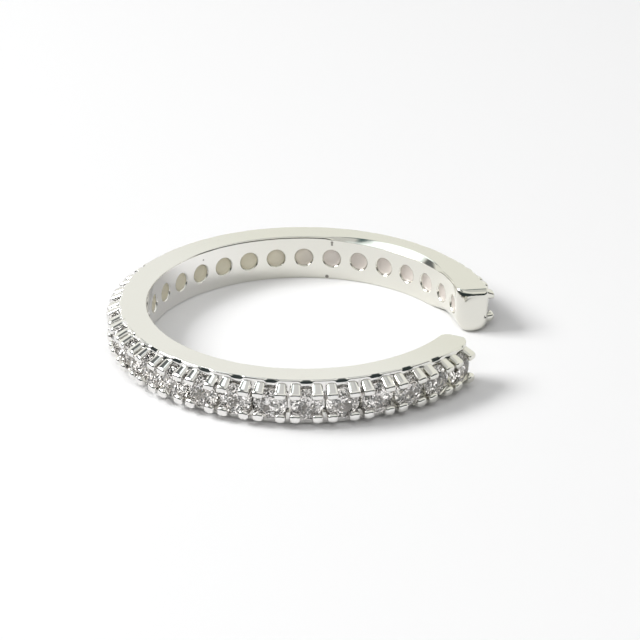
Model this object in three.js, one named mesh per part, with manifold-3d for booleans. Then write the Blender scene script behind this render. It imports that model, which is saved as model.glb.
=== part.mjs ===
// Ear cuff: an open silver-coloured ring with one row of small round stones set in its outer side.
// It lies on its side. Millimetres and degrees, +Z up, the opening faces +X, and the origin is
// under the middle of the whole cuff.

import * as THREE from 'three';
import { mergeVertices } from 'three/addons/utils/BufferGeometryUtils.js';
import Module from 'manifold-3d';

const wasm = await Module();
wasm.setup();

// Ring
const BORE_RADIUS = 5;
const BAND_HEIGHT = 1.5;
const WALL = 0.87;
const GAP = 3.25;

// Arms' ends. Seen from above, the arm on the -Y side is rounded much more at its outer corner.
const TIP_WALL = 1.0;
const TIP_FLARE = 3.2;
const TIP_LAND = 0.8;
const TIP_EDGE_ROUND = 0.2;
const PLUS_TIP_INNER_ROUND = 0.32;
const PLUS_TIP_OUTER_ROUND = 0.14;
const MINUS_TIP_INNER_ROUND = 0.34;
const MINUS_TIP_OUTER_ROUND = 0.5;

// Edges of the band. The lower edges are softened most near the ends, where the cuff slides on.
const BORE_BEVEL_WIDTH = 0.05;
const BORE_BEVEL_DEPTH = 0.08;
const EDGE_BREAK = 0.03;
const LOWER_RIM_BEVEL = 0.11;
const TIP_HEEL_BEVEL = 0.34;
const TIP_BORE_BEVEL_WIDTH = 0.22;
const TIP_BORE_BEVEL_DEPTH = 0.2;
const TIP_BEVEL_LENGTH = 5;

// Worn facet on the bore's upper edge, on one arm only: where it starts and ends, in degrees
// round the ring from the middle of the opening, and its greatest width and depth
const FACET_START = 36;
const FACET_END = 92;
const FACET_WIDTH = 0.36;
const FACET_DEPTH = 0.13;

// Stones
const STONE_DIAMETER = 1.05;
const STONE_SPACE = 0.056;
const STONE_PROUD = 0.09;
const GIRDLE_THICKNESS = 0.02;
const CROWN_HEIGHT = 0.15;
const PAVILION_DEPTH = 0.44;
const TABLE_DIAMETER = 0.6;
const FACETS_ROUND = 8;
const STAR_SHARE = 0.45;
const LOWER_HALF_SHARE = 0.77;
const SEAT_CLEARANCE = 0.02;
const LIGHT_HOLE_DIAMETER = 0.58;

// Each stone is set turned on its own axis, by this much more than the one before, in degrees
const STONE_TURN = 137.5;

// Prongs, four to a stone: bars whose outer corner slopes down to a short upright face. The
// slope starts a little way out from the rim.
const PRONG_WIDTH = 0.36;
const PRONG_HEIGHT = 0.39;
const PRONG_BITE = 0.155;
const PRONG_ANGLE = 53;
const PRONG_OVER_TABLE = 0.15;
const PRONG_SLOPE_START = 0.03;
const PRONG_FACE = 0.17;
const PRONG_CHAMFER = 0.07;
const PRONG_ROOT = 0.15;

// Fineness of the faceted solids
const STEPS_PER_STONE = 2;
const TIP_STEPS = 6;
const SEAT_SIDES = 8;

// Sizes that follow from the ones above
const RIM_RADIUS = BORE_RADIUS + WALL;
const MIDDLE = BAND_HEIGHT / 2;
const GIRDLE_RADIUS = RIM_RADIUS + STONE_PROUD;
const STONE_RADIUS = STONE_DIAMETER / 2;
const TABLE_RADIUS = TABLE_DIAMETER / 2;
const GIRDLE_TOP = GIRDLE_RADIUS + GIRDLE_THICKNESS;
const TABLE_AT = GIRDLE_TOP + CROWN_HEIGHT;
const CULET_AT = GIRDLE_RADIUS - PAVILION_DEPTH;
const PRONG_TIP_AT = TABLE_AT + PRONG_OVER_TABLE;
const PRONG_REACH = STONE_RADIUS + PRONG_WIDTH / 2 - PRONG_BITE;
const PRONG_ACROSS = PRONG_REACH * Math.cos(THREE.MathUtils.degToRad(PRONG_ANGLE));
const PRONG_UP = PRONG_REACH * Math.sin(THREE.MathUtils.degToRad(PRONG_ANGLE));

// Angles of the row, measured round the ring from the middle of the opening
const PITCH = 2 * Math.asin((STONE_DIAMETER + STONE_SPACE) / 2 / GIRDLE_RADIUS);
const HALF_GAP = Math.asin(GAP / 2 / (BORE_RADIUS + WALL / 2));
const ROW_LIMIT = 2 * (Math.PI - HALF_GAP - TIP_LAND / GIRDLE_RADIUS);
const STONE_COUNT = Math.floor(ROW_LIMIT / PITCH) + 1;
const FIRST_STONE = Math.PI - PITCH * (STONE_COUNT - 1) / 2;

const silver = new THREE.MeshStandardMaterial({
  color: 0xe6e5df,
  roughness: 0.12,
  metalness: 1,
  flatShading: true,
});
const zirconia = new THREE.MeshStandardMaterial({
  color: 0xe9e4e2,
  roughness: 0.03,
  metalness: 0,
  transparent: true,
  opacity: 0.6,
  flatShading: true,
});

function toSolid(geometry) {
  const bare = geometry.clone();
  bare.deleteAttribute('normal');
  bare.deleteAttribute('uv');
  const merged = mergeVertices(bare);
  return new wasm.Manifold(new wasm.Mesh({
    numProp: 3,
    vertProperties: new Float32Array(merged.attributes.position.array),
    triVerts: new Uint32Array(merged.index.array),
  }));
}

function toGeometry(solid) {
  const { vertProperties, triVerts } = solid.getMesh();
  return meshOf(Array.from(vertProperties), Array.from(triVerts));
}

function meshOf(positions, indices) {
  const geometry = new THREE.BufferGeometry();
  geometry.setAttribute('position', new THREE.Float32BufferAttribute(positions, 3));
  geometry.setIndex(indices);
  geometry.computeVertexNormals();
  return geometry;
}

// Turns a shape made round +Y so that it points outward from the ring at the given angle
function pointOutward(geometry, angle, up) {
  return geometry.clone().rotateZ(-Math.PI / 2).translate(0, 0, up).rotateZ(angle);
}

function smooth(share) {
  const t = THREE.MathUtils.clamp(share, 0, 1);
  return t * t * (3 - 2 * t);
}

function between(start, end, share) {
  return start + (end - start) * share;
}

// How far a rounded edge of the given radius draws back, at a distance from the end face
function roundBack(radius, distance) {
  const left = Math.max(radius - distance, 0);
  return radius - Math.sqrt(radius * radius - left * left);
}

// Depth of the worn facet at an angle, from 0 at its ends to 1 at its widest
function facetShare(angle) {
  const start = THREE.MathUtils.degToRad(FACET_START);
  const end = THREE.MathUtils.degToRad(FACET_END);
  const along = (angle - start) / (end - start);
  return along > 0 && along < 1 ? Math.sin(Math.PI * along) : 0;
}

// One section across the band, as [radius, height] pairs. It runs up the bore, out over the
// upper face, down the outer side and back along the lower face.
function bandSection(angle) {
  const fromOpening = Math.min(angle, 2 * Math.PI - angle);
  const distance = (fromOpening - HALF_GAP) * (BORE_RADIUS + WALL / 2);
  const plus = angle < Math.PI;
  const innerRound = plus ? PLUS_TIP_INNER_ROUND : MINUS_TIP_INNER_ROUND;
  const outerRound = plus ? PLUS_TIP_OUTER_ROUND : MINUS_TIP_OUTER_ROUND;
  const inner = BORE_RADIUS + roundBack(innerRound, distance);
  const drawn = roundBack(TIP_EDGE_ROUND, distance);
  const flare = (TIP_WALL - WALL) * smooth(1 - distance / TIP_FLARE);
  const outer = RIM_RADIUS + flare - roundBack(outerRound, distance);
  const room = (outer - inner) / 2 - EDGE_BREAK;
  const facet = facetShare(angle);
  const bevelWidth = Math.min(between(BORE_BEVEL_WIDTH, FACET_WIDTH, facet), room);
  const bevelDepth = between(BORE_BEVEL_DEPTH, FACET_DEPTH, facet);
  const nearTip = smooth(1 - distance / TIP_BEVEL_LENGTH);
  const underWidth = Math.min(between(BORE_BEVEL_WIDTH, TIP_BORE_BEVEL_WIDTH, nearTip), room);
  const underDepth = between(BORE_BEVEL_DEPTH, TIP_BORE_BEVEL_DEPTH, nearTip);
  const heel = Math.min(between(LOWER_RIM_BEVEL, TIP_HEEL_BEVEL, nearTip), room);
  const top = BAND_HEIGHT - drawn;
  return [
    [inner, top - bevelDepth],
    [inner + bevelWidth, top - EDGE_BREAK / 2],
    [inner + bevelWidth + EDGE_BREAK, top],
    [outer - EDGE_BREAK, top],
    [outer, top - EDGE_BREAK],
    [outer, drawn + heel],
    [outer - heel, drawn],
    [inner + underWidth + EDGE_BREAK, drawn],
    [inner + underWidth, drawn + EDGE_BREAK / 2],
    [inner, drawn + underDepth],
  ];
}

// Angles of the sections: close together where an end is rounded, then in step with the stones
function sectionAngles() {
  const angles = [];
  const widestRound = Math.max(PLUS_TIP_INNER_ROUND, MINUS_TIP_OUTER_ROUND);
  const roundAngle = widestRound / (BORE_RADIUS + WALL / 2);
  for (let step = 0; step <= TIP_STEPS; step += 1) {
    angles.push(HALF_GAP + roundAngle * (1 - Math.cos(Math.PI / 2 * step / TIP_STEPS)));
  }
  const rowSteps = (STONE_COUNT - 1) * STEPS_PER_STONE;
  const lastRound = angles[angles.length - 1];
  const firstHalf = angles.slice();
  for (let step = 0; step <= rowSteps; step += 1) {
    const angle = FIRST_STONE + PITCH / STEPS_PER_STONE * step;
    if (angle > lastRound && angle < 2 * Math.PI - lastRound) {
      angles.push(angle);
    }
  }
  return [...angles, ...firstHalf.reverse().map((angle) => 2 * Math.PI - angle)];
}

function bandBody() {
  const sections = sectionAngles().map((angle) => ({ angle, points: bandSection(angle) }));
  const around = sections[0].points.length;
  const positions = [];
  const indices = [];
  for (const { angle, points } of sections) {
    for (const [radius, height] of points) {
      positions.push(radius * Math.cos(angle), radius * Math.sin(angle), height);
    }
  }
  for (let section = 0; section < sections.length - 1; section += 1) {
    for (let point = 0; point < around; point += 1) {
      const here = section * around + point;
      const next = section * around + (point + 1) % around;
      indices.push(here, next, here + around);
      indices.push(next, next + around, here + around);
    }
  }
  const last = (sections.length - 1) * around;
  const outline = sections[0].points.map(([radius, height]) => new THREE.Vector2(radius, height));
  for (const [a, b, c] of THREE.ShapeUtils.triangulateShape(outline, [])) {
    indices.push(a, b, c);
    indices.push(last + a, last + c, last + b);
  }
  return toSolid(meshOf(positions, indices));
}

// One prong above the stones, made round +Y with its slope on the +Z side
function prong() {
  const wide = PRONG_WIDTH / 2;
  const low = -PRONG_HEIGHT / 2;
  const rings = [
    { radius: RIM_RADIUS - PRONG_ROOT, high: -low },
    { radius: RIM_RADIUS + PRONG_SLOPE_START, high: -low },
    { radius: PRONG_TIP_AT, high: low + PRONG_FACE },
  ];
  const outline = (high) => [
    new THREE.Vector2(-wide, low),
    new THREE.Vector2(wide, low),
    new THREE.Vector2(wide, high - PRONG_CHAMFER),
    new THREE.Vector2(wide - PRONG_CHAMFER, high),
    new THREE.Vector2(PRONG_CHAMFER - wide, high),
    new THREE.Vector2(-wide, high - PRONG_CHAMFER),
  ];
  const around = outline(0).length;
  const positions = rings.flatMap(({ radius, high }) => (
    outline(high).flatMap((point) => [point.x, radius, point.y])
  ));
  const indices = [];
  for (let ring = 0; ring < rings.length - 1; ring += 1) {
    for (let point = 0; point < around; point += 1) {
      const here = ring * around + point;
      const next = ring * around + (point + 1) % around;
      indices.push(here, here + around, next);
      indices.push(next, here + around, next + around);
    }
  }
  const last = (rings.length - 1) * around;
  for (const [a, b, c] of THREE.ShapeUtils.triangulateShape(outline(0), [])) {
    indices.push(a, b, c);
    indices.push(last + a, last + c, last + b);
  }
  return meshOf(positions, indices);
}

// What is cut out of the band for a stone: its seat, a little wider than the stone, with a
// groove in the prongs for the girdle, and the light hole from under the stone into the bore
function seat() {
  const gap = SEAT_CLEARANCE;
  const wide = 1 / Math.cos(Math.PI / SEAT_SIDES);
  const star = starPoint();
  const half = lowerHalfPoint();
  const hole = LIGHT_HOLE_DIAMETER / 2;
  const widest = STONE_RADIUS + gap;
  const seatSlope = (GIRDLE_RADIUS - half.height) / (STONE_RADIUS - half.radius);
  const crownSlope = (star.height - GIRDLE_TOP) / (STONE_RADIUS - star.radius);
  const groove = (GIRDLE_THICKNESS + 2 * gap) / (seatSlope + crownSlope);
  const profile = [
    [0, BORE_RADIUS - WALL],
    [hole, BORE_RADIUS - WALL],
    [hole, GIRDLE_RADIUS - gap - (widest - hole) * seatSlope],
    [widest + groove, GIRDLE_RADIUS - gap + groove * seatSlope],
    [widest - CROWN_HEIGHT / crownSlope, TABLE_AT + gap],
    [0, TABLE_AT + gap],
  ];
  const points = profile.map(([radius, height]) => new THREE.Vector2(radius * wide, height));
  return new THREE.LatheGeometry(points, SEAT_SIDES).rotateY(Math.PI / SEAT_SIDES);
}

// Corner between two crown mains and a star facet
function starPoint() {
  const along = TABLE_RADIUS + STAR_SHARE * (STONE_RADIUS - TABLE_RADIUS);
  return {
    radius: along / Math.cos(Math.PI / FACETS_ROUND),
    height: TABLE_AT - STAR_SHARE * CROWN_HEIGHT,
  };
}

// Corner between two pavilion mains and the facets under the girdle
function lowerHalfPoint() {
  return {
    radius: LOWER_HALF_SHARE * STONE_RADIUS / Math.cos(Math.PI / FACETS_ROUND),
    height: CULET_AT + LOWER_HALF_SHARE * PAVILION_DEPTH,
  };
}

// Round brilliant round +Y: table, stars, mains and halves above the girdle, halves and mains below
function stone() {
  const positions = [];
  const indices = [];
  const turn = Math.PI / FACETS_ROUND;
  const ring = (radius, height, count, first) => {
    const start = positions.length / 3;
    for (let corner = 0; corner < count; corner += 1) {
      const angle = first + 2 * Math.PI * corner / count;
      positions.push(radius * Math.cos(angle), height, -radius * Math.sin(angle));
    }
    return (corner) => start + (corner + count) % count;
  };
  const table = ring(TABLE_RADIUS, TABLE_AT, FACETS_ROUND, 0);
  const star = ring(starPoint().radius, starPoint().height, FACETS_ROUND, turn);
  const upper = ring(STONE_RADIUS, GIRDLE_TOP, 2 * FACETS_ROUND, 0);
  const lower = ring(STONE_RADIUS, GIRDLE_RADIUS, 2 * FACETS_ROUND, 0);
  const half = ring(lowerHalfPoint().radius, lowerHalfPoint().height, FACETS_ROUND, turn);
  const culet = ring(0, CULET_AT, 1, 0);
  for (let k = 0; k < FACETS_ROUND; k += 1) {
    indices.push(table(k), star(k), table(k + 1));
    indices.push(table(k), star(k - 1), upper(2 * k));
    indices.push(table(k), upper(2 * k), star(k));
    indices.push(star(k), upper(2 * k), upper(2 * k + 1));
    indices.push(star(k), upper(2 * k + 1), upper(2 * k + 2));
    indices.push(half(k), lower(2 * k + 1), lower(2 * k));
    indices.push(half(k), lower(2 * k + 2), lower(2 * k + 1));
    indices.push(culet(0), lower(2 * k), half(k - 1));
    indices.push(culet(0), half(k), lower(2 * k));
    if (k > 1) {
      indices.push(table(0), table(k - 1), table(k));
    }
  }
  for (let k = 0; k < 2 * FACETS_ROUND; k += 1) {
    indices.push(upper(k), lower(k), lower(k + 1));
    indices.push(upper(k), lower(k + 1), upper(k + 1));
  }
  return meshOf(positions, indices);
}

function stoneAngles() {
  return Array.from({ length: STONE_COUNT }, (unused, index) => FIRST_STONE + PITCH * index);
}

function band() {
  let body = bandBody();
  const prongShapes = { above: prong(), below: prong().rotateY(Math.PI) };
  const aside = Math.asin(PRONG_ACROSS / GIRDLE_RADIUS);
  for (const angle of stoneAngles()) {
    for (const side of [-1, 1]) {
      const turn = angle + side * aside;
      body = body.add(toSolid(pointOutward(prongShapes.above, turn, MIDDLE + PRONG_UP)));
      body = body.add(toSolid(pointOutward(prongShapes.below, turn, MIDDLE - PRONG_UP)));
    }
  }
  const seatShape = seat();
  for (const angle of stoneAngles()) {
    body = body.subtract(toSolid(pointOutward(seatShape, angle, MIDDLE)));
  }
  return toGeometry(body);
}

const cuff = new THREE.Group();
const bandMesh = new THREE.Mesh(band(), silver);
bandMesh.name = 'band';
cuff.add(bandMesh);

stoneAngles().forEach((angle, index) => {
  const turned = stone().rotateY(THREE.MathUtils.degToRad(STONE_TURN * index));
  const mesh = new THREE.Mesh(pointOutward(turned, angle, MIDDLE), zirconia);
  mesh.name = `stone_${String(index + 1).padStart(2, '0')}`;
  cuff.add(mesh);
});

// The open ring's middle is off the bore's axis, so the whole cuff moves to stand over the origin
const middle = new THREE.Box3().setFromObject(cuff).getCenter(new THREE.Vector3());
cuff.position.set(-middle.x, -middle.y, 0);
cuff.updateMatrixWorld(true);

export default cuff;
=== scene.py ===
"""Ear cuff: an open silver-coloured ring with a row of round stones, lying on a white surface."""

import math

import bmesh
import bpy
from mathutils import Matrix, Vector

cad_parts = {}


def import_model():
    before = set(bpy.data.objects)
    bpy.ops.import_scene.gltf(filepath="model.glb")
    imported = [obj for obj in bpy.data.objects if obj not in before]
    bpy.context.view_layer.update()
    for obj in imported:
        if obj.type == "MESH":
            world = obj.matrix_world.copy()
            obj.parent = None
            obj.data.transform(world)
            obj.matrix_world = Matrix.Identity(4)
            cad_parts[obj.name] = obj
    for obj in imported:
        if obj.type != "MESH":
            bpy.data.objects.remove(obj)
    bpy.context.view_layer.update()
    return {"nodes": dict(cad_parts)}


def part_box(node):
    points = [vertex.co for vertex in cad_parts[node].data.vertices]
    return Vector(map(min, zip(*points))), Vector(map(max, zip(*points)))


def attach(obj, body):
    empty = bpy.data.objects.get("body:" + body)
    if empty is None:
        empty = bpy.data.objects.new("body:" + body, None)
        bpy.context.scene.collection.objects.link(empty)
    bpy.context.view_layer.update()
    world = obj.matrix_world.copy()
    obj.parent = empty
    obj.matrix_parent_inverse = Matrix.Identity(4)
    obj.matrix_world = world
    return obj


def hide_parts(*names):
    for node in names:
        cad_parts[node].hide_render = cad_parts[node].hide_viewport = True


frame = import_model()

MM = 0.001

# Ring, in millimetres and degrees, as in the part's own source
BORE_RADIUS = 5.0
BAND_HEIGHT = 1.5
WALL = 0.87
GAP = 3.25
TIP_WALL = 1.0
TIP_FLARE = 3.2
TIP_LAND = 0.8

# Rounds of the two tips: the inner upright edge, the outer upright edge, and the upper and lower edges
PLUS_TIP_ROUNDS = (0.32, 0.14, 0.22)
MINUS_TIP_ROUNDS = (0.34, 0.62, 0.2)

# Width and depth of the long edges: the bore's two, the rim's lower one, and what they grow to at the tips
TIP_CORNER_ROUND = 0.28
TIP_CORNER_LENGTH = 0.35
BORE_BEVEL_WIDTH = 0.05
BORE_BEVEL_DEPTH = 0.08
LOWER_RIM_BEVEL = 0.11
TIP_HEEL_WIDTH = 0.5
TIP_HEEL_DEPTH = 0.4
TIP_HEEL_LENGTH = 5.0
TIP_BORE_BEVEL_WIDTH = 0.42
TIP_BORE_BEVEL_DEPTH = 0.46
TIP_BORE_BEVEL_START = 2.7
TIP_BORE_BEVEL_RISE = 1.1

# The most of the wall's thickness that each of these edges may take
UPPER_EDGE_LIMIT = 0.4
UNDER_EDGE_LIMIT = 0.42
HEEL_LIMIT = 0.5

# Worn facet on the bore's upper edge, from one angle to the other, and how fast the edge turns flat
FACET_START = 36.0
FACET_END = 92.0
FACET_WIDTH = 0.36
FACET_DEPTH = 0.13
FACET_FLATTENING = 4

# Stones, their seats and light holes
STONE_DIAMETER = 1.05
STONE_SPACE = 0.056
STONE_PROUD = 0.09
GIRDLE_THICKNESS = 0.02
CROWN_HEIGHT = 0.15
PAVILION_DEPTH = 0.44
TABLE_DIAMETER = 0.6
LOWER_HALF_SHARE = 0.77
STAR_SHARE = 0.45
FACETS_ROUND = 8
SEAT_CLEARANCE = 0.032
LIGHT_HOLE_DIAMETER = 0.58
SEAT_SIDES = 40

# Mouth of a light hole: how much wider than the hole it is, and how far out from the bore
HOLE_MOUTH = ((0.03, -0.4), (0.03, 0.004), (0.012, 0.016), (0, 0.04))

# Film in a light hole: share of the film's radius, and how far out from the bore
FILM_CLEARANCE = 0.006
FILM_PROFILE = ((0.35, 0.13), (0.7, 0.115), (0.92, 0.085), (1, 0.05), (1, 0.16))
FILM_SIDES = 28

# Prongs, four to a stone
PRONG_WIDTH = 0.36
PRONG_HEIGHT = 0.39
PRONG_BITE = 0.155
PRONG_ANGLE = 53.0
PRONG_OVER_TABLE = 0.15
PRONG_ROOT = 0.15
PRONG_SIDES = 28

# Outer side of a prong: the distance from the bore's axis at which its slope starts, the short straight
# stretch before it, where the slope's rows lie along it, and the steps of the round at its end
PRONG_SLOPE_START = 5.9
PRONG_CREASE = 0.02
PRONG_SLOPE_SHARES = (0, 0.05, 0.15, 0.35, 0.6, 0.85, 1)
PRONG_ROUND_STEPS = 5

# Looks of the prongs: height of the upright face, round of its edge, and the power that makes the
# outline a rounded oblong
UPPER_PRONG_FORM = (0.21, 0.065, 2 / 3.2)
LOWER_PRONG_FORM = (0.29, 0.1, 2 / 2.6)

# Looks of the rim's outer edge: a small round, cut down into a steep bevel over each stone. Half the
# bevel's length and the stretch over which it fades are shares of the stones' pitch.
EDGE_ROUND = 0.055
WINDOW_DEPTH = 0.125
WINDOW_HALF = 0.22
WINDOW_FADE = 0.08
WINDOW_FLATNESS = 0.85

# Narrow strips beside each rounded edge, which keep the flat faces flat when shaded
SUPPORT = 0.012
SUPPORT_LIMIT = 0.02

# Recess in the outer side, between the two rows of prongs, and its distance from the tips. Its lower
# side rises with the rim's lower edge.
RECESS_DEPTH = 0.2
RECESS_HALF = 0.32
RECESS_SLOPE = 0.06
RECESS_START = 0.25
RECESS_FADE = 0.5
RECESS_RISE = 1 / 3

# Steps of the rounded edges, of the tips, and of the band from stone to stone
UPPER_EDGE_STEPS = 6
RIM_EDGE_STEPS = 5
HEEL_STEPS = 8
UNDER_EDGE_STEPS = 7
TIP_STEPS = 16
STEPS_PER_STONE = 20

# Points nearer than this are joined, and edges sharper than these degrees are kept sharp
WELD_DISTANCE = 0.0005
BAND_CREASE = 32.0
FILM_CREASE = 50.0

# Small dark casting marks on the bore: degrees round the ring, height and size
CASTING_MARKS = ((89.4, 1.33, 0.06), (89.4, 1.25, 0.05), (91.3, 0.09, 0.08), (141.5, 1.21, 0.04))
MARK_COLOUR = (0.22, 0.21, 0.19, 1)

# Metal: its two shades, the painted shade it takes on towards +X and +Y (painted darker and yellower there
# for that side's duller reflections), the x + y where that starts and ends, the stretch of the wear
# pattern that shows, the least and greatest roughness, the round of its sharp edges, and the strength and
# depth of its faint unevenness
SILVER_SHADES = ((0.80, 0.79, 0.77, 1), (0.84, 0.83, 0.815, 1))
SILVER_PAINTED_SHADE = (0.905, 0.905, 0.855, 1)
SILVER_PAINTED_SHADE_RANGE = (-3.0, 4.0)
SILVER_WEAR = (0.3, 0.75)
SILVER_ROUGHNESS = (0.045, 0.11)
SILVER_EDGE_ROUND = 0.018
SILVER_BUMP_STRENGTH = 0.05
SILVER_BUMP_DEPTH = 0.02

# Films, which stand in for the stones' backs in the light holes: their two shades on the -X side and on
# the +X side, and the x where one turns into the other. The yellower -X side is painted light, the warmer
# light that comes through the stones from behind there
FILM_LEFT_PAINTED_LIGHT = ((0.68, 0.63, 0.47, 1), (0.80, 0.76, 0.62, 1))
FILM_RIGHT_SHADES = ((0.58, 0.52, 0.47, 1), (0.76, 0.71, 0.66, 1))
FILM_PAINTED_LIGHT_RANGE = (-2.5, 0.5)
FILM_ROUGHNESS = 0.22

# Stones: their two shades, the index of refraction, the size and tilt of the small facets that the
# surface shows, and a faint haze below the girdle
STONE_SHADES = ((0.99, 0.95, 0.925, 1), (1.0, 0.98, 0.965, 1))
STONE_REFRACTION = 2.05
STONE_CELLS = 6500
STONE_TILT = 0.18
HAZE_SHADES = ((0.94, 0.89, 0.85, 1), (0.98, 0.95, 0.92, 1))
HAZE_SHARE = 0.03
HAZE_FADE = 0.06

# White surface
FLOOR_HALF = 600.0
FLOOR_COLOUR = (0.9, 0.9, 0.9, 1)

# Camera, fitted to the photograph: distance, height angle, turn round the ring, focal length in
# pixels of a 640 pixel frame, and the pixel at which the ring's middle lies
CAMERA_DISTANCE = 113.0
CAMERA_ELEVATION = 25.404
CAMERA_TURN = 10.3
FOCAL_PIXELS = 3520.65
FRAME_PIXELS = 640
CENTRE_PIXEL = (303.5, 342.28)
SENSOR = 36.0
CLIP_START = 1.0
CLIP_END = 100000.0

# Surroundings that the metal and the stones mirror, as the camera sees them: x to the right, y away
# from the camera, z up. Each patch has the stretches over which it fades in, then its colour, and
# lies over the ones before it.
SKY_COLOUR = (0.97, 0.975, 0.91, 1)
SKY_PATCHES = {
    "grey overhead": (
        (("z", 0.82, 0.93),),
        (0.7, 0.7, 0.68, 1),
    ),
    "dark towards the camera": (
        (("y", 0.1, -0.2), ("z", 0.64, 0.4)),
        (0.035, 0.045, 0.045, 1),
    ),
    "dark low at the left": (
        (("x", -0.5, -0.6), ("z", 0.46, 0.4), ("y", 0.45, 0.3)),
        (0.05, 0.06, 0.06, 1),
    ),
    "dim strip at the left": (
        (("x", -0.35, -0.38), ("x", -0.6, -0.54), ("z", 0.55, 0.62)),
        (0.16, 0.17, 0.17, 1),
    ),
    "lamp at the left": (
        (("x", -0.56, -0.62), ("z", 0.42, 0.5), ("y", -0.35, -0.25), ("y", 0.4, 0.3)),
        (1.6, 1.6, 1.6, 1),
    ),
    "dark border of the panel": (
        (("x", -0.14, -0.17), ("x", -0.37, -0.33), ("y", 0.1, 0.2), ("z", 0.5, 0.53)),
        (0.05, 0.06, 0.06, 1),
    ),
    "bright panel": (
        (("x", -0.14, -0.17), ("x", -0.37, -0.33), ("y", 0.1, 0.2), ("z", 0.57, 0.6)),
        (1.5, 1.62, 1.62, 1),
    ),
    "dark right of the panel": (
        (("x", -0.17, -0.14), ("x", 0.36, 0.26), ("y", 0.28, 0.36), ("z", 0.8, 0.86)),
        (0.1, 0.16, 0.16, 1),
    ),
}

# Lights that look at the ring: name, degrees round it from straight behind it to the right, degrees up,
# distance, width and height, watts, and whether the metal and the stones show them
LIGHTS = (
    ("key", -86, 42, 250, (130, 110), 0.565, True, True),
    ("overhead", 0, 82, 300, (500, 500), 0.48, False, False),
    ("front fill", 175, 48, 300, (400, 260), 0.4, False, True),
)

RIM_RADIUS = BORE_RADIUS + WALL
MIDDLE = BAND_HEIGHT / 2
GIRDLE_RADIUS = RIM_RADIUS + STONE_PROUD
STONE_RADIUS = STONE_DIAMETER / 2
GIRDLE_TOP = GIRDLE_RADIUS + GIRDLE_THICKNESS
TABLE_AT = GIRDLE_TOP + CROWN_HEIGHT
CULET_AT = GIRDLE_RADIUS - PAVILION_DEPTH
PRONG_TIP_AT = TABLE_AT + PRONG_OVER_TABLE
PRONG_REACH = STONE_RADIUS + PRONG_WIDTH / 2 - PRONG_BITE
PRONG_ACROSS = PRONG_REACH * math.cos(math.radians(PRONG_ANGLE))
PRONG_UP = PRONG_REACH * math.sin(math.radians(PRONG_ANGLE))
MID_RADIUS = BORE_RADIUS + WALL / 2
PITCH = 2 * math.asin((STONE_DIAMETER + STONE_SPACE) / 2 / GIRDLE_RADIUS)
HALF_GAP = math.asin(GAP / 2 / MID_RADIUS)
ROW_LIMIT = 2 * (math.pi - HALF_GAP - TIP_LAND / GIRDLE_RADIUS)
STONE_COUNT = math.floor(ROW_LIMIT / PITCH) + 1
FIRST_STONE = math.pi - PITCH * (STONE_COUNT - 1) / 2
STONE_ANGLES = [FIRST_STONE + PITCH * index for index in range(STONE_COUNT)]

# Where the bore's axis lies: the band's box starts at the tips of the prongs opposite the opening
BAND_LOW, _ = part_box("band")
BACK_PRONG = PITCH / 2 - math.asin(PRONG_ACROSS / GIRDLE_RADIUS)
AXIS_X = BAND_LOW.x / MM + PRONG_TIP_AT * math.cos(BACK_PRONG) + PRONG_WIDTH / 2 * math.sin(BACK_PRONG)


def clamp(value, low=0.0, high=1.0):
    return max(low, min(high, value))


def smooth(share):
    t = clamp(share)
    return t * t * (3 - 2 * t)


def between(start, end, share):
    return start + (end - start) * share


def round_back(radius, distance):
    """How far a round of this radius draws the surface back, at a distance from its start."""
    left = max(radius - distance, 0)
    return radius - math.sqrt(radius * radius - left * left)


def facet_share(angle):
    """1 in the middle of the worn facet, 0 outside it."""
    along = (math.degrees(angle) - FACET_START) / (FACET_END - FACET_START)
    return math.sin(math.pi * along) if 0 < along < 1 else 0


def window_share(angle):
    """1 over the middle of a stone, 0 between two stones."""
    place = (angle - FIRST_STONE) / PITCH
    index = clamp(round(place), 0, STONE_COUNT - 1)
    return smooth((WINDOW_HALF - abs(place - index)) / WINDOW_FADE)


def corner(start, middle, end, steps, bulge):
    """Points of a rounded corner from start to end; bulge 1 is round, 0 a flat bevel."""
    points = []
    for step in range(steps + 1):
        t = step / steps
        turn = t * math.pi / 2
        flat = [between(a, b, t) for a, b in zip(start, end)]
        arc = [
            m + (a - m) * (1 - math.sin(turn)) + (b - m) * (1 - math.cos(turn))
            for a, m, b in zip(start, middle, end)
        ]
        points.append([between(f, r, bulge) for f, r in zip(flat, arc)])
    return points


def edge_sizes(distance, across, facet):
    """Width and depth of the bore's upper edge, of its lower edge and of the rim's lower edge."""
    near_corner = smooth(1 - distance / TIP_CORNER_LENGTH)
    near_under = smooth((TIP_BORE_BEVEL_START - distance) / TIP_BORE_BEVEL_RISE)
    near_heel = smooth(1 - distance / TIP_HEEL_LENGTH)
    upper_width = between(between(BORE_BEVEL_WIDTH, FACET_WIDTH, facet), TIP_CORNER_ROUND, near_corner)
    upper_depth = between(between(BORE_BEVEL_DEPTH, FACET_DEPTH, facet), TIP_CORNER_ROUND, near_corner)
    under_width = between(BORE_BEVEL_WIDTH, TIP_BORE_BEVEL_WIDTH, near_under)
    under_depth = between(BORE_BEVEL_DEPTH, TIP_BORE_BEVEL_DEPTH, near_under)
    heel_width = between(LOWER_RIM_BEVEL, TIP_HEEL_WIDTH, near_heel)
    heel_depth = between(LOWER_RIM_BEVEL, TIP_HEEL_DEPTH, near_heel)
    return (
        (min(upper_width, across * UPPER_EDGE_LIMIT), upper_depth),
        (min(under_width, across * UNDER_EDGE_LIMIT), under_depth),
        (min(heel_width, across * HEEL_LIMIT), heel_depth),
    )


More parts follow.
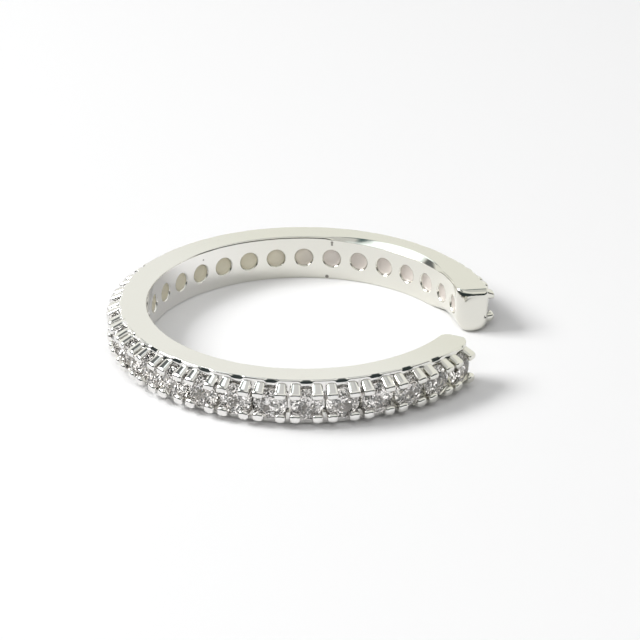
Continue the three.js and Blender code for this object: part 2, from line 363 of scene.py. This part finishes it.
def band_section(angle):
    """The band's section at an angle, as [radius, height] points once round it."""
    from_opening = min(angle, 2 * math.pi - angle)
    distance = (from_opening - HALF_GAP) * MID_RADIUS
    inner_round, outer_round, edge_round = PLUS_TIP_ROUNDS if angle < math.pi else MINUS_TIP_ROUNDS
    flare = (TIP_WALL - WALL) * smooth(1 - distance / TIP_FLARE)
    inner = BORE_RADIUS + round_back(inner_round, distance)
    outer = RIM_RADIUS + flare - round_back(outer_round, distance)
    low = round_back(edge_round, distance)
    top = BAND_HEIGHT - low
    facet = facet_share(angle)
    window = window_share(angle)
    upper, under, heel = edge_sizes(distance, outer - inner, facet)
    upper_width, upper_depth = upper
    under_width, under_depth = under
    heel_width, heel_depth = heel
    edge = between(EDGE_ROUND, WINDOW_DEPTH, window)
    upper_bulge = 1 - smooth(facet * FACET_FLATTENING)
    rim_bulge = 1 - window * WINDOW_FLATNESS
    recess = RECESS_DEPTH * smooth((distance - RECESS_START) / RECESS_FADE)
    recess_low = MIDDLE - RECESS_HALF + heel_depth * RECESS_RISE
    near = min(SUPPORT, (outer - inner) * SUPPORT_LIMIT)
    bore_top = [(inner, top - upper_depth), (inner, top), (inner + upper_width, top)]
    rim_top = [(outer - EDGE_ROUND, top), (outer, top), (outer, top - edge)]
    rim_low = [(outer, low + heel_depth), (outer, low), (outer - heel_width, low)]
    bore_low = [(inner + under_width, low), (inner, low), (inner, low + under_depth)]
    return [
        (inner, top - upper_depth - near),
        *corner(*bore_top, UPPER_EDGE_STEPS, upper_bulge),
        (inner + upper_width + near, top),
        (outer - EDGE_ROUND - near, top),
        *corner(*rim_top, RIM_EDGE_STEPS, rim_bulge),
        (outer, top - edge - near),
        (outer, MIDDLE + RECESS_HALF + RECESS_SLOPE),
        (outer - recess, MIDDLE + RECESS_HALF),
        (outer - recess, recess_low),
        (outer, recess_low - RECESS_SLOPE),
        *corner(*rim_low, HEEL_STEPS, 1),
        (outer - heel_width - near, low),
        (inner + under_width + near, low),
        *corner(*bore_low, UNDER_EDGE_STEPS, 1),
        (inner, low + under_depth + near),
    ]


def section_angles():
    """The angles of the band's sections, from one tip to the other, close together at the tips."""
    round_angle = max(PLUS_TIP_ROUNDS + MINUS_TIP_ROUNDS) / MID_RADIUS
    tip = [
        HALF_GAP + round_angle * (1 - math.cos(math.pi / 2 * step / TIP_STEPS))
        for step in range(TIP_STEPS + 1)
    ]
    start = tip[-1]
    count = round((2 * math.pi - 2 * start) / (PITCH / STEPS_PER_STONE))
    middle = [between(start, 2 * math.pi - start, step / count) for step in range(1, count)]
    return tip + middle + [2 * math.pi - angle for angle in reversed(tip)]


def new_object(name, mesh):
    piece = bpy.data.objects.new(name, mesh)
    bpy.context.scene.collection.objects.link(piece)
    return piece


def mesh_of(name, points, faces):
    mesh = bpy.data.meshes.new(name)
    mesh.from_pydata([Vector(p) * MM for p in points], [], faces)
    work = bmesh.new()
    work.from_mesh(mesh)
    bmesh.ops.recalc_face_normals(work, faces=work.faces)
    work.to_mesh(mesh)
    work.free()
    return mesh


def ring_faces(rows, sides):
    """Faces of a closed shape whose points come row by row, each row once round it."""
    faces = []
    for row in range(rows - 1):
        for side in range(sides):
            next_side = (side + 1) % sides
            faces.append((
                row * sides + side, row * sides + next_side,
                (row + 1) * sides + next_side, (row + 1) * sides + side,
            ))
    last = (rows - 1) * sides
    faces.append(tuple(reversed(range(sides))))
    faces.append(tuple(range(last, last + sides)))
    return faces


def rim_mesh():
    """The band without its prongs and seats."""
    angles = section_angles()
    sections = [band_section(angle) for angle in angles]
    points = [
        (AXIS_X + radius * math.cos(angle), radius * math.sin(angle), height)
        for angle, section in zip(angles, sections)
        for radius, height in section
    ]
    return mesh_of("rim", points, ring_faces(len(sections), len(sections[0])))


def outward(angle, up):
    """Turns a shape made round +Z, with its middle on the bore's axis, to point outward at an angle."""
    return (
        Matrix.Translation((AXIS_X * MM, 0, 0))
        @ Matrix.Rotation(angle, 4, "Z")
        @ Matrix.Translation((0, 0, up * MM))
        @ Matrix.Rotation(math.pi / 2, 4, "Y")
    )


def turned(profile, sides):
    """Points and faces of a closed shape turned round +Z from [radius, height] pairs."""
    points = []
    for radius, height in profile:
        for side in range(sides):
            turn = 2 * math.pi * side / sides
            points.append((radius * math.cos(turn), radius * math.sin(turn), height))
    return points, ring_faces(len(profile), sides)


def gather(name, shape, places):
    """One mesh of a shape at many places."""
    points, faces = shape
    all_points = []
    all_faces = []
    for place in places:
        first = len(all_points)
        all_points += [(place @ (Vector(p) * MM)) / MM for p in points]
        all_faces += [tuple(first + index for index in face) for face in faces]
    return mesh_of(name, all_points, all_faces)


def prong_outline(turn, power):
    """A rounded oblong, 1 high and 1 wide to each side."""
    x = math.copysign(abs(math.cos(turn)) ** power, math.cos(turn))
    y = math.copysign(abs(math.sin(turn)) ** power, math.sin(turn))
    return x, y


def prong_shape(level):
    """A claw: a bar whose outer corner is cut away by a slope, down to a short upright face."""
    face, soft, power = UPPER_PRONG_FORM if level > 0 else LOWER_PRONG_FORM
    slope_end = PRONG_TIP_AT - soft
    rings = [(RIM_RADIUS - PRONG_ROOT, 0), (PRONG_SLOPE_START - PRONG_CREASE, 0)]
    for share in PRONG_SLOPE_SHARES:
        rings.append((between(PRONG_SLOPE_START, slope_end, share), 0))
    for step in range(1, PRONG_ROUND_STEPS + 1):
        turn = step / PRONG_ROUND_STEPS * math.pi / 2
        rings.append((slope_end + soft * math.sin(turn), soft * (1 - math.cos(turn))))
    points = []
    for height, drawn in rings:
        along = clamp((height - PRONG_SLOPE_START) / (PRONG_TIP_AT - PRONG_SLOPE_START))
        top = between(PRONG_HEIGHT / 2, face - PRONG_HEIGHT / 2, along)
        low = -PRONG_HEIGHT / 2
        middle = (top + low) / 2
        tall = (top - low) / 2 - drawn
        wide = PRONG_WIDTH / 2 - drawn
        for side in range(PRONG_SIDES):
            up, across = prong_outline(2 * math.pi * side / PRONG_SIDES, power)
            points.append((-level * (middle + up * tall), across * wide, height))
    return points, ring_faces(len(rings), PRONG_SIDES)


def seat_shape():
    """What is cut out of the band for one stone: its light hole, its seat and the room over it."""
    gap = SEAT_CLEARANCE
    table_radius = TABLE_DIAMETER / 2
    corner_share = math.cos(math.pi / FACETS_ROUND)
    star_radius = (table_radius + STAR_SHARE * (STONE_RADIUS - table_radius)) / corner_share
    star_height = TABLE_AT - STAR_SHARE * CROWN_HEIGHT
    half_radius = LOWER_HALF_SHARE * STONE_RADIUS / corner_share
    half_height = CULET_AT + LOWER_HALF_SHARE * PAVILION_DEPTH
    hole = LIGHT_HOLE_DIAMETER / 2
    widest = STONE_RADIUS + gap
    seat_slope = (GIRDLE_RADIUS - half_height) / (STONE_RADIUS - half_radius)
    crown_slope = (star_height - GIRDLE_TOP) / (STONE_RADIUS - star_radius)
    groove = (GIRDLE_THICKNESS + 2 * gap) / (seat_slope + crown_slope)
    profile = [
        *[(hole + wider, BORE_RADIUS + out) for wider, out in HOLE_MOUTH],
        (hole, GIRDLE_RADIUS - gap - (widest - hole) * seat_slope),
        (widest + groove, GIRDLE_RADIUS - gap + groove * seat_slope),
        (widest - CROWN_HEIGHT / crown_slope, TABLE_AT + gap),
    ]
    return turned(profile, SEAT_SIDES)


def boolean(piece, other, operation):
    """Joins another object to a piece or cuts it out, and removes the other object."""
    change = piece.modifiers.new(operation.lower(), "BOOLEAN")
    change.operation = operation
    change.solver = "MANIFOLD"
    change.object = other
    graph = bpy.context.evaluated_depsgraph_get()
    result = bpy.data.meshes.new_from_object(piece.evaluated_get(graph))
    piece.modifiers.clear()
    old = piece.data
    piece.data = result
    bpy.data.meshes.remove(old)
    spent = other.data
    bpy.data.objects.remove(other)
    bpy.data.meshes.remove(spent)


def band_piece():
    """The metal: the ring with its prongs joined on and its seats cut out."""
    band = new_object("band_metal", rim_mesh())
    aside = math.asin(PRONG_ACROSS / GIRDLE_RADIUS)
    for level in (-1, 1):
        places = [
            outward(angle + side * aside, MIDDLE + level * PRONG_UP)
            for angle in STONE_ANGLES
            for side in (-1, 1)
        ]
        boolean(band, new_object("prongs", gather("prongs", prong_shape(level), places)), "UNION")
    seats = [outward(angle, MIDDLE) for angle in STONE_ANGLES]
    for every_other in (seats[0::2], seats[1::2]):
        cutter = new_object("seats", gather("seats", seat_shape(), every_other))
        boolean(band, cutter, "DIFFERENCE")
    return band


def film_piece():
    """What closes the light holes behind the stones: a thin dished film in each."""
    wide = LIGHT_HOLE_DIAMETER / 2 - FILM_CLEARANCE
    profile = [(wide * share, BORE_RADIUS + out) for share, out in FILM_PROFILE]
    places = [outward(angle, MIDDLE) for angle in STONE_ANGLES]
    return new_object("hole_films", gather("hole_films", turned(profile, FILM_SIDES), places))


def shade(piece, crease):
    """Smooth shading, with edges sharper than so many degrees kept sharp."""
    limit = math.radians(crease)
    work = bmesh.new()
    work.from_mesh(piece.data)
    bmesh.ops.remove_doubles(work, verts=work.verts, dist=WELD_DISTANCE * MM)
    for edge in work.edges:
        edge.smooth = len(edge.link_faces) == 2 and edge.calc_face_angle(0) < limit
    for face in work.faces:
        face.smooth = True
        face.material_index = 0
    work.to_mesh(piece.data)
    work.free()


class Nodes:
    """Short helper for building node trees."""

    def __init__(self, tree):
        self.tree = tree
        tree.nodes.clear()

    def add(self, kind, **settings):
        node = self.tree.nodes.new(kind)
        for name, value in settings.items():
            setattr(node, name, value)
        return node

    def feed(self, socket, value):
        if isinstance(value, bpy.types.NodeSocket):
            self.tree.links.new(value, socket)
        else:
            socket.default_value = value

    def math(self, operation, *values):
        node = self.add("ShaderNodeMath", operation=operation)
        for socket, value in zip(node.inputs, values):
            self.feed(socket, value)
        return node.outputs[0]

    def ramp(self, value, low, high, start=0.0, end=1.0):
        node = self.add("ShaderNodeMapRange", interpolation_type="SMOOTHSTEP")
        for name, number in zip(
            ("Value", "From Min", "From Max", "To Min", "To Max"), (value, low, high, start, end)
        ):
            self.feed(node.inputs[name], number)
        return node.outputs[0]

    def mix(self, share, first, second, blend="MIX"):
        """A mix of two colours; the node keeps its colours at sockets 6 and 7, and its result at 2."""
        node = self.add("ShaderNodeMix", data_type="RGBA", blend_type=blend)
        self.feed(node.inputs[0], share)
        self.feed(node.inputs[6], first)
        self.feed(node.inputs[7], second)
        return node.outputs[2]

    def vector(self, operation, *values):
        node = self.add("ShaderNodeVectorMath", operation=operation)
        for socket, value in zip(node.inputs, values):
            self.feed(socket, value)
        return node.outputs["Value" if operation == "DISTANCE" else "Vector"]

    def split(self, vector):
        node = self.add("ShaderNodeSeparateXYZ")
        self.feed(node.inputs[0], vector)
        return node.outputs

    def place(self):
        """Where a point lies in the part's own frame, in metres."""
        return self.add("ShaderNodeTexCoord").outputs["Object"]

    def noise(self, scale, detail=2.0, roughness=0.5):
        node = self.add("ShaderNodeTexNoise")
        self.feed(node.inputs["Vector"], self.place())
        node.inputs["Scale"].default_value = scale
        node.inputs["Detail"].default_value = detail
        node.inputs["Roughness"].default_value = roughness
        return node.outputs["Fac"]

    def surface(self, kind, shader):
        self.feed(self.add(kind).inputs["Surface"], shader)


def new_material(name):
    material = bpy.data.materials.new(name)
    material.use_nodes = True
    return material, Nodes(material.node_tree)


def casting_marks(nodes, colour):
    """A colour with the casting marks laid over it."""
    for degrees, height, size in CASTING_MARKS:
        turn = math.radians(degrees)
        middle = Vector((AXIS_X + BORE_RADIUS * math.cos(turn), BORE_RADIUS * math.sin(turn), height))
        gap = nodes.vector("DISTANCE", nodes.place(), middle * MM)
        colour = nodes.mix(nodes.ramp(gap, size * MM, size / 2 * MM), colour, MARK_COLOUR)
    return colour


def silver_material():
    """Polished metal: faint clouds in colour and roughness, painted shade towards +X and +Y, marks, and
    softly rounded edges.
    """
    material, nodes = new_material("silver_metal")
    shader = nodes.add("ShaderNodeBsdfPrincipled")
    shader.inputs["Metallic"].default_value = 1.0
    x, y, _ = nodes.split(nodes.place())
    # Painted shade: the colour is multiplied darker and yellower towards +X and +Y, for that side's duller
    # reflections
    shade_start, shade_end = SILVER_PAINTED_SHADE_RANGE
    painted_shade_share = nodes.ramp(nodes.math("ADD", x, y), shade_start * MM, shade_end * MM)
    unshaded = (1, 1, 1, 1)
    tint = nodes.mix(painted_shade_share, unshaded, SILVER_PAINTED_SHADE)
    colour = nodes.mix(nodes.noise(scale=420, detail=3.0), *SILVER_SHADES)
    colour = casting_marks(nodes, nodes.mix(1.0, colour, tint, "MULTIPLY"))
    nodes.feed(shader.inputs["Base Color"], colour)
    wear = nodes.noise(scale=2600, detail=4.0, roughness=0.6)
    nodes.feed(shader.inputs["Roughness"], nodes.ramp(wear, *SILVER_WEAR, *SILVER_ROUGHNESS))
    edge = nodes.add("ShaderNodeBevel", samples=4)
    edge.inputs["Radius"].default_value = SILVER_EDGE_ROUND * MM
    bump = nodes.add("ShaderNodeBump")
    bump.inputs["Strength"].default_value = SILVER_BUMP_STRENGTH
    bump.inputs["Distance"].default_value = SILVER_BUMP_DEPTH * MM
    nodes.feed(bump.inputs["Height"], nodes.noise(scale=900))
    nodes.feed(bump.inputs["Normal"], edge.outputs[0])
    nodes.feed(shader.inputs["Normal"], bump.outputs[0])
    nodes.surface("ShaderNodeOutputMaterial", shader.outputs[0])
    return material


def film_material():
    """Clouded beige, yellower on the -X side: painted light, the warmer light that comes through the
    stones from behind there.
    """
    material, nodes = new_material("setting_film")
    shader = nodes.add("ShaderNodeBsdfPrincipled")
    cloud = nodes.noise(scale=900, detail=3.0)
    x = nodes.split(nodes.place())[0]
    # Painted light: yellower towards -X, for the warmer light that comes through the stones' backs on that
    # side
    light_start, light_end = FILM_PAINTED_LIGHT_RANGE
    side = nodes.ramp(x, light_start * MM, light_end * MM)
    left = nodes.mix(cloud, *FILM_LEFT_PAINTED_LIGHT)
    right = nodes.mix(cloud, *FILM_RIGHT_SHADES)
    nodes.feed(shader.inputs["Base Color"], nodes.mix(side, left, right))
    shader.inputs["Roughness"].default_value = FILM_ROUGHNESS
    nodes.surface("ShaderNodeOutputMaterial", shader.outputs[0])
    return material


def small_facets(nodes):
    """The surface's normal, tilted another way in each cell of a fine pattern."""
    cells = nodes.add("ShaderNodeTexVoronoi", feature="F1")
    nodes.feed(cells.inputs["Vector"], nodes.place())
    cells.inputs["Scale"].default_value = STONE_CELLS
    spread = [2 * STONE_TILT] * 3
    middle = [-STONE_TILT] * 3
    tilt = nodes.vector("MULTIPLY_ADD", cells.outputs["Color"], spread, middle)
    normal = nodes.add("ShaderNodeNewGeometry").outputs["Normal"]
    return nodes.vector("NORMALIZE", nodes.vector("ADD", normal, tilt))


def below_girdle(nodes):
    """1 on the part of a stone that lies below its girdle, 0 above it."""
    frame_x, y, _ = nodes.split(nodes.place())
    x = nodes.math("SUBTRACT", frame_x, AXIS_X * MM)
    squares = nodes.math("ADD", nodes.math("MULTIPLY", x, x), nodes.math("POWER", y, 2))
    radius = nodes.math("SQRT", squares)
    return nodes.ramp(radius, GIRDLE_RADIUS * MM, (GIRDLE_RADIUS - HAZE_FADE) * MM)


def stone_material():
    """Clear cut stone, faintly warm, with many small facets and a trace of haze below the girdle."""
    material, nodes = new_material("zirconia_stone")
    tint = nodes.noise(scale=300, detail=1.0)
    shader = nodes.add("ShaderNodeBsdfPrincipled")
    nodes.feed(shader.inputs["Base Color"], nodes.mix(tint, *STONE_SHADES))
    shader.inputs["Roughness"].default_value = 0.0
    shader.inputs["IOR"].default_value = STONE_REFRACTION
    shader.inputs["Transmission Weight"].default_value = 1.0
    nodes.feed(shader.inputs["Normal"], small_facets(nodes))
    haze = nodes.add("ShaderNodeBsdfTranslucent")
    nodes.feed(haze.inputs["Color"], nodes.mix(tint, *HAZE_SHADES))
    both = nodes.add("ShaderNodeMixShader")
    nodes.feed(both.inputs[0], nodes.math("MULTIPLY", below_girdle(nodes), HAZE_SHARE))
    nodes.feed(both.inputs[1], shader.outputs[0])
    nodes.feed(both.inputs[2], haze.outputs[0])
    nodes.surface("ShaderNodeOutputMaterial", both.outputs[0])
    return material


def floor_piece():
    size = FLOOR_HALF * MM
    corners = [(-size, -size, 0), (size, -size, 0), (size, size, 0), (-size, size, 0)]
    mesh = bpy.data.meshes.new("floor")
    mesh.from_pydata(corners, [], [(0, 1, 2, 3)])
    floor = new_object("floor", mesh)
    material, nodes = new_material("white_surface")
    shader = nodes.add("ShaderNodeBsdfDiffuse")
    shader.inputs["Color"].default_value = FLOOR_COLOUR
    nodes.surface("ShaderNodeOutputMaterial", shader.outputs[0])
    mesh.materials.append(material)


def camera():
    """The photograph's camera, aimed so that the ring's middle lies at its own pixel."""
    data = bpy.data.cameras.new("camera")
    data.sensor_width = SENSOR
    data.lens = FOCAL_PIXELS / FRAME_PIXELS * SENSOR
    data.clip_start = CLIP_START * MM
    data.clip_end = CLIP_END * MM
    held = new_object("camera", data)
    height = math.radians(CAMERA_ELEVATION)
    back = Vector((0, -math.cos(height), math.sin(height)))
    turn = Matrix.Rotation(math.radians(CAMERA_TURN), 3, "Z")
    ahead = turn @ -back
    right = turn @ Vector((1, 0, 0))
    up = right.cross(ahead)
    aside = (CENTRE_PIXEL[0] - FRAME_PIXELS / 2) / FOCAL_PIXELS
    above = (FRAME_PIXELS / 2 - CENTRE_PIXEL[1]) / FOCAL_PIXELS
    ahead = (ahead - right * aside - up * above).normalized()
    right = ahead.cross(up).normalized()
    up = right.cross(ahead)
    place = Vector((AXIS_X, 0, 0)) + turn @ (back * CAMERA_DISTANCE)
    facing = Matrix((right, up, -ahead)).transposed().to_4x4()
    held.matrix_world = Matrix.Translation(place * MM) @ facing
    bpy.context.scene.camera = held


def world():
    """Surroundings that only mirrors and stones show; they light nothing else."""
    made = bpy.data.worlds.new("studio")
    made.use_nodes = True
    bpy.context.scene.world = made
    nodes = Nodes(made.node_tree)
    turned_back = nodes.add("ShaderNodeVectorRotate", rotation_type="Z_AXIS")
    nodes.feed(turned_back.inputs["Vector"], nodes.add("ShaderNodeTexCoord").outputs["Generated"])
    turned_back.inputs["Angle"].default_value = -math.radians(CAMERA_TURN)
    axes = dict(zip("xyz", nodes.split(turned_back.outputs[0])))
    colour = SKY_COLOUR
    for fades, patch_colour in SKY_PATCHES.values():
        share = 1.0
        for axis, start, full in fades:
            share = nodes.math("MULTIPLY", nodes.ramp(axes[axis], start, full), share)
        colour = nodes.mix(share, colour, patch_colour)
    background = nodes.add("ShaderNodeBackground")
    nodes.feed(background.inputs["Color"], colour)
    nodes.surface("ShaderNodeOutputWorld", background.outputs[0])
    made.cycles_visibility.diffuse = False


def soft_light(name, azimuth, elevation, distance, size, power, in_metal, in_stones):
    """An area light that faces the ring's middle; its place turns with the camera's."""
    data = bpy.data.lights.new(name, "AREA")
    data.shape = "RECTANGLE"
    data.size = size[0] * MM
    data.size_y = size[1] * MM
    data.energy = power
    held = new_object(name, data)
    held.visible_glossy = in_metal
    held.visible_transmission = in_stones
    turn = math.radians(90 - azimuth + CAMERA_TURN)
    height = math.radians(elevation)
    away = Vector((math.cos(turn), math.sin(turn), 0)) * math.cos(height)
    away.z = math.sin(height)
    held.location = (away * distance + Vector((AXIS_X, 0, 0))) * MM
    held.rotation_mode = "QUATERNION"
    held.rotation_quaternion = away.to_track_quat("Z", "Y")


def dress(piece, material):
    piece.data.materials.clear()
    piece.data.materials.append(material)


band = band_piece()
shade(band, BAND_CREASE)
dress(band, silver_material())
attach(band, "root")
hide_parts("band")

films = film_piece()
shade(films, FILM_CREASE)
dress(films, film_material())
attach(films, "root")

zirconia = stone_material()
for name, node in frame["nodes"].items():
    if name.startswith("stone"):
        dress(node, zirconia)

floor_piece()
camera()
world()
for light in LIGHTS:
    soft_light(*light)

scene = bpy.context.scene
scene.view_settings.view_transform = "Standard"
scene.cycles.max_bounces = 24
scene.cycles.transmission_bounces = 16
scene.cycles.glossy_bounces = 8
